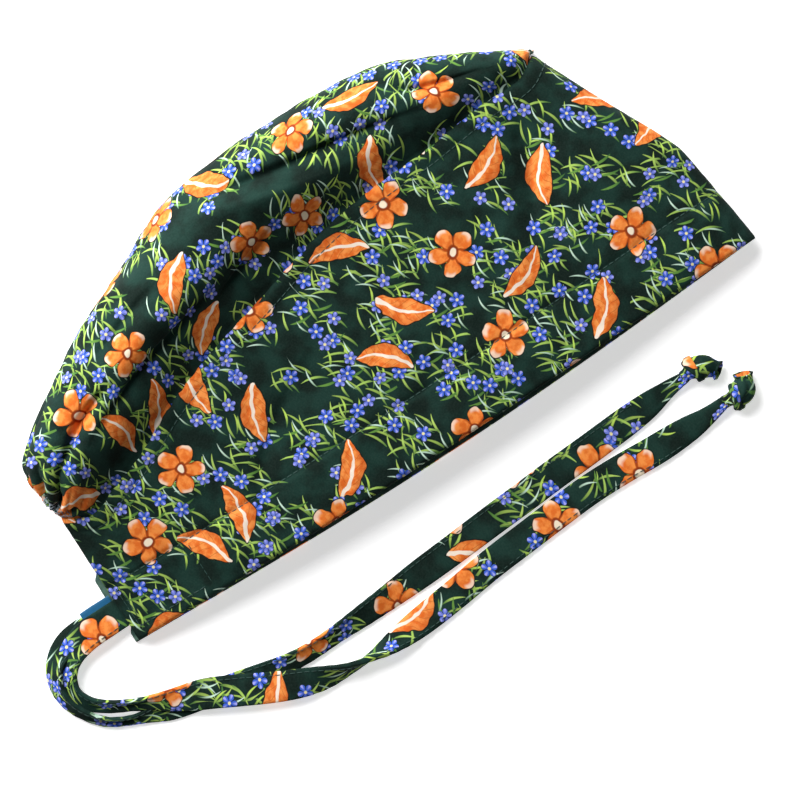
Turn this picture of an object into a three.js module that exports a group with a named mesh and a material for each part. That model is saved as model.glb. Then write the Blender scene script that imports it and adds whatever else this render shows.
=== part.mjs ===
// A cloth scrub cap with two ties, lying on its side with the forehead towards +X.
// X runs along the hem from the back edge to the front fold, Y from the hem to the crown, Z up.
import * as THREE from "three";

// Sizes in millimetres
const hemHalf = 294; // the hem from a back edge to the front fold, half of the way round the head
const capHeight = 144; // from the hem's ends to the highest point of the crown, as it lies
const puffHeight = 40; // the crown's ridge over the surface that the cap lies on
const clothWall = 1.2; // one layer of cloth
const hemWall = 1.8; // the turned-up hem
const hemTurnUp = 24.5; // the hem's height up to its stitching
const hemStep = 0.8; // the slope from the hem's wall to the single layer's
const nearHemSag = 3; // how far the upper layer's hem bows out at its middle
const farHemSag = 5; // the same of the lower layer's hem, which peeps out
const frontBend = 12; // how far back from the front fold the cloth's bend reaches
const seamGap = 0.3; // between two pieces that are sewn together
const casingWidth = 6.5; // the elastic's casing across the top of the back slot
const casingWall = 1.6; // the casing with the elastic in it
const gatherDepth = 2.2; // the deepest gather beside the elastic
const casingRipple = 0.35; // the gathers' depth at the back edge, as a share of the crown's
const tieWidth = 12;
const tieThickness = 2;
const tieCorner = 0.6; // the bevel of a tie's section
const labelLength = 14.4; // what shows of the folded ribbon
const labelTuck = 3; // how far it goes in between the layers
const labelWidth = 11.6;
const labelThickness = 1;
const labelEdge = 22; // its upper edge over the hem's end
const knotSides = 12;

// Sections of the cap, nape to front. "at" is the share of the hem that lies below the section.
// "along" is a share of hemHalf, "up" of capHeight, and ridge and side of puffHeight.
// seam: the crown's seam. edge: the crown's outline. ridge: its top. side: the height of its outline.
const sections = [
  { at: 0.0, seamAlong: 0.003, seamUp: 0.401, edgeAlong: -0.006, edgeUp: 0.458, ridge: 0.42, side: 0.2 },
  { at: 0.022, seamAlong: 0.026, seamUp: 0.372, edgeAlong: -0.005, edgeUp: 0.502, ridge: 0.52, side: 0.26 },
  { at: 0.05, seamAlong: 0.051, seamUp: 0.365, edgeAlong: -0.006, edgeUp: 0.55, ridge: 0.68, side: 0.33 },
  { at: 0.08, seamAlong: 0.082, seamUp: 0.389, edgeAlong: 0.006, edgeUp: 0.602, ridge: 0.79, side: 0.38 },
  { at: 0.14, seamAlong: 0.139, seamUp: 0.427, edgeAlong: 0.075, edgeUp: 0.7, ridge: 0.9, side: 0.42 },
  { at: 0.21, seamAlong: 0.214, seamUp: 0.5, edgeAlong: 0.152, edgeUp: 0.795, ridge: 0.96, side: 0.43 },
  { at: 0.3, seamAlong: 0.299, seamUp: 0.559, edgeAlong: 0.252, edgeUp: 0.884, ridge: 1.0, side: 0.43 },
  { at: 0.4, seamAlong: 0.398, seamUp: 0.611, edgeAlong: 0.366, edgeUp: 0.979, ridge: 0.99, side: 0.42 },
  { at: 0.5, seamAlong: 0.495, seamUp: 0.664, edgeAlong: 0.5, edgeUp: 1.001, ridge: 0.96, side: 0.41 },
  { at: 0.6, seamAlong: 0.59, seamUp: 0.692, edgeAlong: 0.606, edgeUp: 0.996, ridge: 0.91, side: 0.4 },
  { at: 0.7, seamAlong: 0.686, seamUp: 0.701, edgeAlong: 0.705, edgeUp: 0.965, ridge: 0.84, side: 0.37 },
  { at: 0.8, seamAlong: 0.776, seamUp: 0.72, edgeAlong: 0.785, edgeUp: 0.89, ridge: 0.72, side: 0.33 },
  { at: 0.9, seamAlong: 0.845, seamUp: 0.724, edgeAlong: 0.848, edgeUp: 0.815, ridge: 0.56, side: 0.26 },
  { at: 1.0, seamAlong: 0.881, seamUp: 0.764, edgeAlong: 0.886, edgeUp: 0.774, ridge: 0.3, side: 0.2 },
];

// The front fold, hem to tip. "at" is the share of the panel's height.
const frontFold = [
  { at: 0.0, along: 1.0, up: 0.0 },
  { at: 0.35, along: 0.984, up: 0.27 },
  { at: 0.45, along: 0.978, up: 0.335 },
  { at: 0.74, along: 0.926, up: 0.56 },
  { at: 1.0, along: 0.881, up: 0.764 },
];

// How high the side panel's upper layer lies, as shares of puffHeight
const panelHeights = [
  { at: 0.0, hem: 0.155, middle: 0.22, seam: 0.36 },
  { at: 0.1, hem: 0.27, middle: 0.35, seam: 0.45 },
  { at: 0.35, hem: 0.42, middle: 0.51, seam: 0.58 },
  { at: 0.65, hem: 0.42, middle: 0.52, seam: 0.6 },
  { at: 0.88, hem: 0.32, middle: 0.42, seam: 0.5 },
  { at: 1.0, hem: 0.26, middle: 0.33, seam: 0.38 },
];

// Creases of the upper side: start, middle and end as shares of hemHalf and capHeight,
// depth and width as shares of puffHeight. A negative depth is a ridge.
const creases = [
  { x1: 0.345, y1: 0.97, x2: 0.49, y2: 0.9, x3: 0.71, y3: 0.8, depth: 0.12, width: 0.17 },
  { x1: 0.36, y1: 0.9, x2: 0.48, y2: 0.83, x3: 0.6, y3: 0.78, depth: -0.04, width: 0.2 },
  { x1: 0.67, y1: 0.97, x2: 0.72, y2: 0.87, x3: 0.815, y3: 0.8, depth: 0.08, width: 0.15 },
  { x1: 0.04, y1: 0.515, x2: 0.09, y2: 0.6, x3: 0.15, y3: 0.63, depth: 0.14, width: 0.15 },
  { x1: 0.1, y1: 0.53, x2: 0.22, y2: 0.62, x3: 0.36, y3: 0.7, depth: 0.08, width: 0.16 },
  { x1: 0.34, y1: 0.66, x2: 0.4, y2: 0.7, x3: 0.47, y3: 0.76, depth: 0.07, width: 0.16 },
  { x1: 0.15, y1: 0.72, x2: 0.21, y2: 0.76, x3: 0.29, y3: 0.8, depth: 0.06, width: 0.17 },
  { x1: 0.825, y1: 0.7, x2: 0.8, y2: 0.52, x3: 0.74, y3: 0.3, depth: 0.06, width: 0.26 },
  { x1: 0.22, y1: 0.1, x2: 0.3, y2: 0.28, x3: 0.42, y3: 0.42, depth: 0.03, width: 0.24 },
];

// Gathers beside the elastic: "at" is the share of the section's length, width a share of it too,
// depth a share of gatherDepth and reach a share of hemHalf.
const gathers = [
  { at: 0.16, depth: 0.6, width: 0.035, reach: 0.05 },
  { at: 0.3, depth: 1.0, width: 0.038, reach: 0.1 },
  { at: 0.44, depth: 0.9, width: 0.035, reach: 0.07 },
  { at: 0.58, depth: 1.0, width: 0.038, reach: 0.09 },
  { at: 0.7, depth: 0.6, width: 0.035, reach: 0.05 },
];

// The crown's round section: each stretch's share of the section's steps
const valleyEnd = 0.34;
const shoulderEnd = 0.68;
const underEnd = 0.88;
const ridgePlace = 0.56; // the ridge, as a share of the way from the seam to the outline
const flatPlace = 0.8; // where the lower layer leaves the surface to turn up

// Ties: the middle of the strap, from the hem's back corner
const nearTieRoute = [
  [-0.5, 13.3, 4.7], [-8, 13.3, 4.7], [-14.5, 13.2, 4.7], [-19, 12.6, 4], [-24.5, 10.8, 3.5],
  [-29.5, 7.4, 3.5], [-32.8, 2.6, 3.5], [-33.8, -3.6, 3.5], [-31.6, -10.2, 3.5], [-26, -16, 3.5],
  [-16, -21, 3.5], [-4.8, -25.8, 3.5], [12.7, -33.4, 3.5], [23, -38.8, 3.5], [36.7, -46, 3.5],
  [47.4, -50.6, 3.5], [57, -53.8, 3.5], [66, -55.6, 2.9], [75, -56.2, 2], [85, -56.1, 1.5],
  [100, -55.1, 1.4], [115.6, -53.6, 1.4], [135, -51.3, 1.4], [154, -49.9, 1.4], [170, -48.7, 1.4],
  [183, -48, 1.4], [198, -48.2, 1.4], [214, -49.1, 1.4], [227, -49.3, 1.4],
];
const farTieRoute = [
  [-0.5, 13.3, 1], [-10, 14.2, 1], [-18, 15.2, 1], [-25.5, 14.6, 1], [-31.7, 11.8, 1],
  [-36, 7.2, 1], [-38.2, 1, 1], [-37.8, -6, 1], [-34.5, -13.2, 1], [-28.6, -19.6, 1],
  [-20.4, -24.2, 1], [-12, -27.6, 1], [-3, -30.4, 1], [8.3, -32.8, 1], [20.7, -35.2, 1],
  [36.4, -38.8, 1], [52.5, -41, 1], [70.7, -40.8, 1], [88.7, -40.2, 1], [107, -39.2, 1],
  [125.3, -38.2, 1], [144, -37, 1], [162, -36, 1], [174, -35.2, 1], [190.5, -34.4, 1],
  [207.7, -33.4, 1], [220, -32.6, 1],
];
const tieSteps = 46;

// Knots: the middle of the strap as it narrows, through the knot to the tail's end
const nearKnotRoute = [[227.4, -49.3, 1.4], [240, -49.2, 2], [248, -48.6, 3], [255, -48.2, 4.2], [260, -45.2, 3.4], [262.6, -40.8, 2.6]];
const farKnotRoute = [[220.4, -32.55, 1.4], [232, -31.6, 2], [240, -30.9, 3], [246.2, -31, 4.2], [250.6, -34.2, 3.2], [254.4, -38.4, 2.6]];

// Sections of a knot: "at" is the share of its route, wide a share of tieWidth, high a share of tieWidth
const knotSections = [
  { at: 0.0, wide: 0.98, high: 0.17 },
  { at: 0.2, wide: 0.86, high: 0.2 },
  { at: 0.38, wide: 0.5, high: 0.3 },
  { at: 0.47, wide: 0.44, high: 0.38 },
  { at: 0.54, wide: 0.74, high: 0.62 },
  { at: 0.62, wide: 0.86, high: 0.68 },
  { at: 0.71, wide: 0.72, high: 0.6 },
  { at: 0.78, wide: 0.44, high: 0.4 },
  { at: 0.88, wide: 0.6, high: 0.42 },
  { at: 1.0, wide: 0.78, high: 0.4 },
];

// A table's column at any place along it, by a smooth curve through its rows
function column(rows, name) {
  const slopeAt = (i) => {
    const before = rows[Math.max(i - 1, 0)];
    const after = rows[Math.min(i + 1, rows.length - 1)];
    return (after[name] - before[name]) / (after.at - before.at);
  };
  const slopes = rows.map((row, i) => slopeAt(i));
  return (at) => {
    let i = 0;
    while (i < rows.length - 2 && at > rows[i + 1].at) i += 1;
    const span = rows[i + 1].at - rows[i].at;
    const u = THREE.MathUtils.clamp((at - rows[i].at) / span, 0, 1);
    const [start, end] = [rows[i][name], rows[i + 1][name]];
    const fromStart = (1 + 2 * u) * (1 - u) ** 2 * start + u * (1 - u) ** 2 * span * slopes[i];
    const fromEnd = u * u * (3 - 2 * u) * end + u * u * (u - 1) * span * slopes[i + 1];
    return fromStart + fromEnd;
  };
}

const seamAlong = column(sections, "seamAlong");
const seamUp = column(sections, "seamUp");
const edgeAlong = column(sections, "edgeAlong");
const edgeUp = column(sections, "edgeUp");
const ridgeHeight = column(sections, "ridge");
const sideHeight = column(sections, "side");
const foldAlong = column(frontFold, "along");
const foldUp = column(frontFold, "up");
const hemHeight = column(panelHeights, "hem");
const middleHeight = column(panelHeights, "middle");
const seamHeight = column(panelHeights, "seam");

// The panel runs round the head: round is 0 at the upper back edge, 1 at the front fold, 2 at the lower one.
// at: the share of the hem below. up: 1 on the upper layer, -1 on the lower one, between them in the bend.
const bendShare = frontBend / hemHalf;
const bendReach = 0.12; // the bend's share of round on each side of the fold
function station(round) {
  const toFold = 1 - Math.abs(1 - round);
  if (toFold <= 1 - bendReach) {
    return { at: (toFold / (1 - bendReach)) * (1 - bendShare), up: round < 1 ? 1 : -1 };
  }
  const turn = ((round - (1 - bendReach)) / (2 * bendReach)) * Math.PI;
  return { at: 1 - bendShare * (1 - Math.sin(turn)), up: Math.cos(turn) };
}

function hemPoint(at, up) {
  const sag = (nearHemSag * (1 + up) + farHemSag * (1 - up)) / 2;
  return new THREE.Vector2(hemHalf * at, -sag * Math.sin(Math.PI * at));
}

function seamPoint(at) {
  return new THREE.Vector2(hemHalf * seamAlong(at), capHeight * seamUp(at));
}

function foldPoint(rise) {
  return new THREE.Vector2(hemHalf * foldAlong(rise), capHeight * foldUp(rise));
}

// The place of a point of the panel seen from above, between the hem, the seam, the back edge and the fold
function panelPlan(at, up, rise) {
  const back = hemPoint(0, up).lerp(seamPoint(0), rise);
  const front = foldPoint(rise);
  const plan = hemPoint(at, up).lerp(seamPoint(at), rise);
  const corners = hemPoint(0, up).lerp(seamPoint(0), rise).lerp(hemPoint(1, up).lerp(seamPoint(1), rise), at);
  return plan.add(back.lerp(front, at)).sub(corners);
}

// The depth of the creases at a place seen from above
const creaseSteps = 10;
const creaseLines = creases.map((row) => {
  const ends = [
    new THREE.Vector2(hemHalf * row.x1, capHeight * row.y1),
    new THREE.Vector2(hemHalf * row.x2, capHeight * row.y2),
    new THREE.Vector2(hemHalf * row.x3, capHeight * row.y3),
  ];
  return { depth: puffHeight * row.depth, width: puffHeight * row.width, points: new THREE.SplineCurve(ends).getPoints(creaseSteps) };
});

function creaseDepth(x, y) {
  let depth = 0;
  for (const line of creaseLines) {
    let nearest = Infinity;
    let place = 0;
    for (let i = 0; i < creaseSteps; i += 1) {
      const [a, b] = [line.points[i], line.points[i + 1]];
      const [dx, dy] = [b.x - a.x, b.y - a.y];
      const along = THREE.MathUtils.clamp(((x - a.x) * dx + (y - a.y) * dy) / (dx * dx + dy * dy), 0, 1);
      const distance = Math.hypot(x - a.x - along * dx, y - a.y - along * dy);
      if (distance < nearest) {
        nearest = distance;
        place = (i + along) / creaseSteps;
      }
    }
    const fade = Math.sin(Math.PI * THREE.MathUtils.clamp(place, 0.06, 0.94));
    depth += line.depth * fade * Math.exp(-((nearest / line.width) ** 2));
  }
  return depth;
}

// The panel's outer face. rise is 0 at the hem and 1 at the seam.
function panelFace(round, rise) {
  const { at, up } = station(round);
  const plan = panelPlan(at, up, rise);
  const hem = hemHeight(at);
  const middle = middleHeight(at);
  const seam = seamHeight(at);
  const bow = 4 * (middle - (hem + seam) / 2) * rise * (1 - rise);
  const top = puffHeight * (hem + (seam - hem) * rise + bow);
  const dent = Math.max(up, 0) ** 2 * creaseDepth(plan.x, plan.y);
  return new THREE.Vector3(plan.x, plan.y, (top * (1 + up)) / 2 - dent);
}

// The outward normal of a face, by small steps to both sides that stay on it
const nudge = 1e-4;
function normalOf(face, u, v, highU, highV) {
  const [u1, u2] = [Math.max(u - nudge, 0), Math.min(u + nudge, highU)];
  const [v1, v2] = [Math.max(v - nudge, 0), Math.min(v + nudge, highV)];
  const alongU = face(u2, v).sub(face(u1, v));
  const alongV = face(u, v2).sub(face(u, v1));
  return alongU.cross(alongV).normalize();
}

const panelNormal = (round, rise) => normalOf(panelFace, round, rise, 2, 1);

// A place just past the seam, straight on from the panel
function seamStart(round) {
  const edge = panelFace(round, 1);
  const onward = edge.clone().sub(panelFace(round, 1 - nudge)).normalize();
  return edge.addScaledVector(onward, seamGap);
}

function bezier(a, b, c, d, u) {
  const v = 1 - u;
  return v * v * v * a + 3 * v * v * u * b + 3 * v * u * u * c + u * u * u * d;
}

// The crown's section: out is the share of the way from the seam to the outline
function sectionPoint(round, turn, high, low) {
  const { at } = station(round);
  const ridge = puffHeight * ridgeHeight(at);
  const side = puffHeight * sideHeight(at);
  const top = Math.max(ridge, high);
  if (turn < valleyEnd) {
    const u = turn / valleyEnd;
    return { out: bezier(0, 0.12, 0.28, ridgePlace, u), z: bezier(high, high, top, top, u) };
  }
  if (turn < shoulderEnd) {
    const u = (turn - valleyEnd) / (shoulderEnd - valleyEnd);
    const fall = side + 0.5 * (top - side);
    return { out: bezier(ridgePlace, 0.8, 1, 1, u), z: bezier(top, top, fall, side, u) };
  }
  if (turn < underEnd) {
    const u = (turn - shoulderEnd) / (underEnd - shoulderEnd);
    return { out: bezier(1, 1, 0.96, flatPlace, u), z: bezier(side, 0.3 * side, 0, 0, u) };
  }
  const u = (turn - underEnd) / (1 - underEnd);
  return { out: flatPlace * (1 - u), z: low * u * u };
}

// The crown before creases and gathers. turn is 0 at the upper seam and 1 at the lower one.
function smoothCrown(round, turn) {
  const upper = seamStart(round);
  const lower = seamStart(2 - round);
  const { at } = station(round);
  const section = sectionPoint(round, turn, upper.z, lower.z);
  const seam = upper.clone().lerp(lower, turn);
  const x = THREE.MathUtils.lerp(seam.x, hemHalf * edgeAlong(at), section.out);
  const y = THREE.MathUtils.lerp(seam.y, capHeight * edgeUp(at), section.out);
  return new THREE.Vector3(x, y, section.z);
}

// The place on the seam, counted round the head, where the casing ends
const roundPerLength = (1 - bendReach) / (hemHalf - frontBend);
const casingEnd = casingWidth * roundPerLength;
const casingGap = 2 * seamGap * roundPerLength;
const smoothNormal = (round, turn) => normalOf(smoothCrown, round, turn, 1, 1);

function gatherAt(round, turn) {
  const away = station(round).at;
  const share = Math.min(1, casingRipple + ((1 - casingRipple) * round) / casingEnd);
  let depth = 0;
  for (const row of gathers) {
    const across = Math.exp(-(((turn - row.at) / row.width) ** 2));
    depth += share * gatherDepth * row.depth * across * Math.exp(-((away / row.reach) ** 2));
  }
  return depth;
}

function crownFace(round, turn) {
  const place = smoothCrown(round, turn);
  const onTop = 1 - THREE.MathUtils.smoothstep(turn, valleyEnd, shoulderEnd);
  const start = THREE.MathUtils.smoothstep(turn, 0, 0.08);
  const depth = gatherAt(round, turn) + onTop * start * creaseDepth(place.x, place.y);
  return place.addScaledVector(smoothNormal(round, turn), -depth);
}

// Along a seam the crown's edge is cut square to the panel, so that the two edges face each other
function crownNormal(round, turn) {
  if (turn === 0) return panelNormal(round, 1);
  if (turn === 1) return panelNormal(2 - round, 1);
  return normalOf(crownFace, round, turn, 1, 1);
}

// A closed wall: an outer face on a grid, its inner face under it, and the rims between them
function clothWallOf(us, vs, face, normal, wall) {
  const outer = us.map((u) => vs.map((v) => face(u, v)));
  const inner = us.map((u, i) => vs.map((v, j) => outer[i][j].clone().addScaledVector(normal(u, v), -wall(u, v))));
  const positions = [...outer, ...inner].flat().flatMap((point) => point.toArray());
  const count = us.length * vs.length;
  const index = [];
  const quad = (a, b, c, d) => index.push(a, b, c, a, c, d);
  const at = (i, j) => i * vs.length + j;
  for (let i = 0; i < us.length - 1; i += 1) {
    for (let j = 0; j < vs.length - 1; j += 1) {
      quad(at(i, j), at(i + 1, j), at(i + 1, j + 1), at(i, j + 1));
      quad(count + at(i, j), count + at(i, j + 1), count + at(i + 1, j + 1), count + at(i + 1, j));
    }
  }
  const [lastU, lastV] = [us.length - 1, vs.length - 1];
  for (let i = 0; i < lastU; i += 1) {
    quad(at(i, 0), count + at(i, 0), count + at(i + 1, 0), at(i + 1, 0));
    quad(at(i, lastV), at(i + 1, lastV), count + at(i + 1, lastV), count + at(i, lastV));
  }
  for (let j = 0; j < lastV; j += 1) {
    quad(at(0, j), at(0, j + 1), count + at(0, j + 1), count + at(0, j));
    quad(at(lastU, j), count + at(lastU, j), count + at(lastU, j + 1), at(lastU, j + 1));
  }
  return facingOut(positions, index);
}

// A geometry whose faces point out, whichever way round its grid went
function facingOut(positions, index) {
  const corner = (i) => new THREE.Vector3().fromArray(positions, 3 * i);
  let volume = 0;
  for (let i = 0; i < index.length; i += 3) {
    volume += corner(index[i]).dot(corner(index[i + 1]).cross(corner(index[i + 2])));
  }
  const geometry = new THREE.BufferGeometry();
  geometry.setAttribute("position", new THREE.Float32BufferAttribute(positions, 3));
  geometry.setIndex(volume > 0 ? index : index.slice().reverse());
  geometry.computeVertexNormals();
  return geometry;
}

const spaced = (from, to, steps) => Array.from({ length: steps + 1 }, (_, i) => from + ((to - from) * i) / steps);

const printedCotton = new THREE.MeshStandardMaterial({ color: 0x17332b, roughness: 0.85, metalness: 0 });
const labelRibbon = new THREE.MeshStandardMaterial({ color: 0x1a6f9a, roughness: 0.6, metalness: 0 });

function named(name, geometry, material) {
  const mesh = new THREE.Mesh(geometry, material);
  mesh.name = name;
  return mesh;
}

// Steps round the head that the panel and the crown share, so that their seam's edges match.
// They are closer at the nape, where the seam turns, and in the bend at the front.
const napeEnd = 0.16;
const tipClearance = 0.006; // leaves the point of the crown its wall's width
const nape = spaced(casingEnd, napeEnd, 8);
const middleSteps = spaced(napeEnd, 1 - bendReach, 24).slice(1);
const tip = spaced(1 - bendReach, 1 - tipClearance, 5).slice(1);
const crownRounds = [...nape, ...middleSteps, ...tip];

// Side panel: one strip from the upper back edge round the front fold to the lower back edge
function makeSidePanel() {
  const layer = [0, casingEnd / 2, ...crownRounds];
  const rounds = [...layer, 1, ...layer.map((round) => 2 - round).reverse()];
  // Rows: a whole number up to 3 in the hem, then just over its step, then on to the seam
  const hemRows = 3;
  const panelRows = 6;
  const rows = spaced(0, hemRows + 1 + panelRows, hemRows + 1 + panelRows);
  const riseOf = (round, row) => {
    const { at, up } = station(round);
    const height = hemPoint(at, up).distanceTo(panelPlan(at, up, 1));
    const turnUp = hemTurnUp / height;
    const over = (hemTurnUp + hemStep) / height;
    if (row <= hemRows) return (turnUp * row) / hemRows;
    return over + ((1 - over) * (row - hemRows - 1)) / panelRows;
  };
  const face = (round, row) => panelFace(round, riseOf(round, row));
  const normal = (round, row) => panelNormal(round, riseOf(round, row));
  const wall = (round, row) => (row <= hemRows ? hemWall : clothWall);
  return named("side_panel", clothWallOf(rounds, rows, face, normal, wall), printedCotton);
}

const turnSteps = 34;
const turns = spaced(0, 1, turnSteps);

// Crown panel: from the casing to its tip at the front, upper seam to lower seam round the outline
function makeCrownPanel() {
  const geometry = clothWallOf(crownRounds, turns, crownFace, crownNormal, () => clothWall);
  return named("crown_panel", geometry, printedCotton);
}

// Nape elastic: the casing over the back slot, gathered like the crown that it holds
function makeNapeElastic() {
  const rounds = [0, casingEnd / 2, casingEnd - casingGap];
  const geometry = clothWallOf(rounds, turns, crownFace, crownNormal, () => casingWall);
  return named("nape_elastic", geometry, printedCotton);
}

// Ties: a folded strap laid flat, swept along its route
function makeTie(name, route) {
  const [high, wide] = [tieThickness / 2, tieWidth / 2];
  const section = new THREE.Shape([
    new THREE.Vector2(-high, -wide + tieCorner),
    new THREE.Vector2(-high + tieCorner, -wide),
    new THREE.Vector2(high - tieCorner, -wide),
    new THREE.Vector2(high, -wide + tieCorner),
    new THREE.Vector2(high, wide - tieCorner),
    new THREE.Vector2(high - tieCorner, wide),
    new THREE.Vector2(-high + tieCorner, wide),
    new THREE.Vector2(-high, wide - tieCorner),
  ]);
  const path = new THREE.CatmullRomCurve3(route.map((point) => new THREE.Vector3(...point)));
  const geometry = new THREE.ExtrudeGeometry(section, { steps: tieSteps, extrudePath: path, bevelEnabled: false });
  return named(name, geometry, printedCotton);
}

// Knots: the strap drawn in, the knot's body and the flared tail, lofted through oval sections
function makeKnot(name, route) {
  const path = new THREE.CatmullRomCurve3(route.map((point) => new THREE.Vector3(...point)));
  const wide = column(knotSections, "wide");
  const high = column(knotSections, "high");
  const rings = spaced(0, 1, 18).map((at) => {
    const centre = path.getPointAt(at);
    const ahead = path.getTangentAt(at).setZ(0).normalize();
    const across = new THREE.Vector3(-ahead.y, ahead.x, 0);
    const [halfWide, halfHigh] = [(tieWidth * wide(at)) / 2, (tieWidth * high(at)) / 2];
    centre.z = halfHigh;
    return Array.from({ length: knotSides }, (_, side) => {
      const angle = (2 * Math.PI * side) / knotSides;
      const ring = centre.clone().addScaledVector(across, halfWide * Math.cos(angle));
      return ring.setZ(centre.z + halfHigh * Math.sin(angle));
    });
  });
  const positions = rings.flat().flatMap((point) => point.toArray());
  const index = [];
  for (let i = 0; i < rings.length - 1; i += 1) {
    for (let j = 0; j < knotSides; j += 1) {
      const [a, b] = [i * knotSides + j, i * knotSides + ((j + 1) % knotSides)];
      index.push(a, b, b + knotSides, a, b + knotSides, a + knotSides);
    }
  }
  const last = (rings.length - 1) * knotSides;
  for (let j = 1; j < knotSides - 1; j += 1) {
    index.push(0, j + 1, j, last, last + j, last + j + 1);
  }
  return named(name, facingOut(positions, index), printedCotton);
}

// Label tab: a folded ribbon sewn in between the ties, its end tucked in between the layers
function makeLabelTab() {
  const length = labelLength + labelTuck;
  const tab = named("label_tab", new THREE.BoxGeometry(length, labelWidth, labelThickness), labelRibbon);
  const level = tieThickness + seamGap + labelThickness / 2;
  tab.position.set(labelTuck - length / 2, labelEdge - labelWidth / 2, level);
  return tab;
}

const body = new THREE.Group();
body.add(makeSidePanel(), makeCrownPanel(), makeNapeElastic(), makeLabelTab());

const loose = new THREE.Group();
loose.add(makeTie("near_tie", nearTieRoute), makeTie("far_tie", farTieRoute));
loose.add(makeKnot("near_knot", nearKnotRoute), makeKnot("far_knot", farKnotRoute));

// The origin is under the middle of the cap without its ties
const box = new THREE.Box3().setFromObject(body);
const middle = box.getCenter(new THREE.Vector3());
const cap = new THREE.Group();
cap.add(body, loose);
cap.position.set(-middle.x, -middle.y, -box.min.z);

export default cap;
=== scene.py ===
"""A cloth scrub cap with two knotted ties, lying on its side on a white floor."""

import bpy
import math
import numpy as np
from mathutils import Matrix, Vector


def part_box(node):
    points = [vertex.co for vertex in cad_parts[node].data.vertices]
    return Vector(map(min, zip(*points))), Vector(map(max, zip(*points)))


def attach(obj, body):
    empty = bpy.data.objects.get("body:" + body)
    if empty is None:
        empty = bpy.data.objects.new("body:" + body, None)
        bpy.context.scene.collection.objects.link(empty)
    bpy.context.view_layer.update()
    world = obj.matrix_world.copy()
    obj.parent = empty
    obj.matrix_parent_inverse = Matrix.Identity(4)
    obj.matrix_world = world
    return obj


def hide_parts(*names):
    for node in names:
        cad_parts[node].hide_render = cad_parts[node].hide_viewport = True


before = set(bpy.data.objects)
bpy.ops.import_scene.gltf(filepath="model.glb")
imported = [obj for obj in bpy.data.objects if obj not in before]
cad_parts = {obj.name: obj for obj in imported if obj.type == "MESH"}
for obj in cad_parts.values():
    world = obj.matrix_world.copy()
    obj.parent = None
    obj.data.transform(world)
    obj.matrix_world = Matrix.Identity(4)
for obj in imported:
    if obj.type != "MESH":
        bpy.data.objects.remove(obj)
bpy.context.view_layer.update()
chance = np.random.default_rng(11)

# Sizes in millimetres. X runs along the hem from the back edge to the front fold, and Y from the
# hem to the crown.
hem_half = 294.0
cap_height = 144.0
puff_height = 40.0
cloth_wall = 1.2
hem_wall = 1.8
hem_turn_up = 24.5
hem_step = 0.8
near_hem_sag = 3.0
far_hem_sag = 5.0
front_bend = 12.0
seam_gap = 0.3
casing_width = 6.5
casing_wall = 1.6
gather_depth = 3.3
casing_ripple = 0.35
label_length = 14.4
label_width = 11.6
label_edge = 22.0
topstitch_inset = 6.0
stitch_pitch = 2.9

# The least height of each kind of piece above the floor
cloth_clearance = 0.02
strap_clearance = 0.05
stitch_clearance = 0.03

# Sections of the cap, nape to front: share of the hem below, seam along and up, outline along and up,
# ridge and side heights, all as shares of hem_half, cap_height and puff_height
sections = [
    (0.0, 0.003, 0.401, -0.006, 0.458, 0.42, 0.2),
    (0.022, 0.026, 0.372, -0.005, 0.502, 0.52, 0.26),
    (0.05, 0.051, 0.365, -0.006, 0.55, 0.68, 0.33),
    (0.08, 0.082, 0.389, 0.006, 0.602, 0.79, 0.38),
    (0.14, 0.139, 0.427, 0.075, 0.7, 0.9, 0.42),
    (0.21, 0.214, 0.5, 0.152, 0.795, 0.96, 0.43),
    (0.3, 0.299, 0.559, 0.252, 0.884, 1.0, 0.43),
    (0.4, 0.398, 0.611, 0.366, 0.979, 0.99, 0.42),
    (0.5, 0.495, 0.664, 0.5, 1.001, 0.96, 0.41),
    (0.6, 0.59, 0.692, 0.606, 0.996, 0.91, 0.4),
    (0.7, 0.686, 0.701, 0.705, 0.965, 0.84, 0.37),
    (0.8, 0.776, 0.72, 0.785, 0.89, 0.72, 0.33),
    (0.9, 0.845, 0.724, 0.848, 0.815, 0.56, 0.26),
    (1.0, 0.881, 0.764, 0.886, 0.774, 0.3, 0.2),
]

# The front fold, hem to tip: share of the panel's height, along, up
front_fold = [
    (0.0, 1.0, 0.0),
    (0.35, 0.984, 0.27),
    (0.45, 0.978, 0.335),
    (0.74, 0.926, 0.56),
    (1.0, 0.881, 0.764),
]

# Heights of the side panel's upper layer: share of the hem, hem, middle, seam
panel_heights = [
    (0.0, 0.155, 0.22, 0.36),
    (0.1, 0.27, 0.35, 0.45),
    (0.35, 0.42, 0.51, 0.58),
    (0.65, 0.42, 0.52, 0.6),
    (0.88, 0.32, 0.42, 0.5),
    (1.0, 0.26, 0.33, 0.38),
]

# Creases of the upper side: start, middle and end, then depth and width as shares of puff_height
creases = [
    (0.345, 0.97, 0.49, 0.9, 0.71, 0.8, 0.12, 0.17),
    (0.36, 0.9, 0.48, 0.83, 0.6, 0.78, -0.04, 0.2),
    (0.67, 0.97, 0.72, 0.87, 0.815, 0.8, 0.08, 0.15),
    (0.04, 0.515, 0.09, 0.6, 0.15, 0.63, 0.14, 0.15),
    (0.1, 0.53, 0.22, 0.62, 0.36, 0.7, 0.08, 0.16),
    (0.34, 0.66, 0.4, 0.7, 0.47, 0.76, 0.07, 0.16),
    (0.15, 0.72, 0.21, 0.76, 0.29, 0.8, 0.06, 0.17),
    (0.825, 0.7, 0.8, 0.52, 0.74, 0.3, 0.06, 0.26),
    (0.22, 0.1, 0.3, 0.28, 0.42, 0.42, 0.03, 0.24),
]

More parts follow.
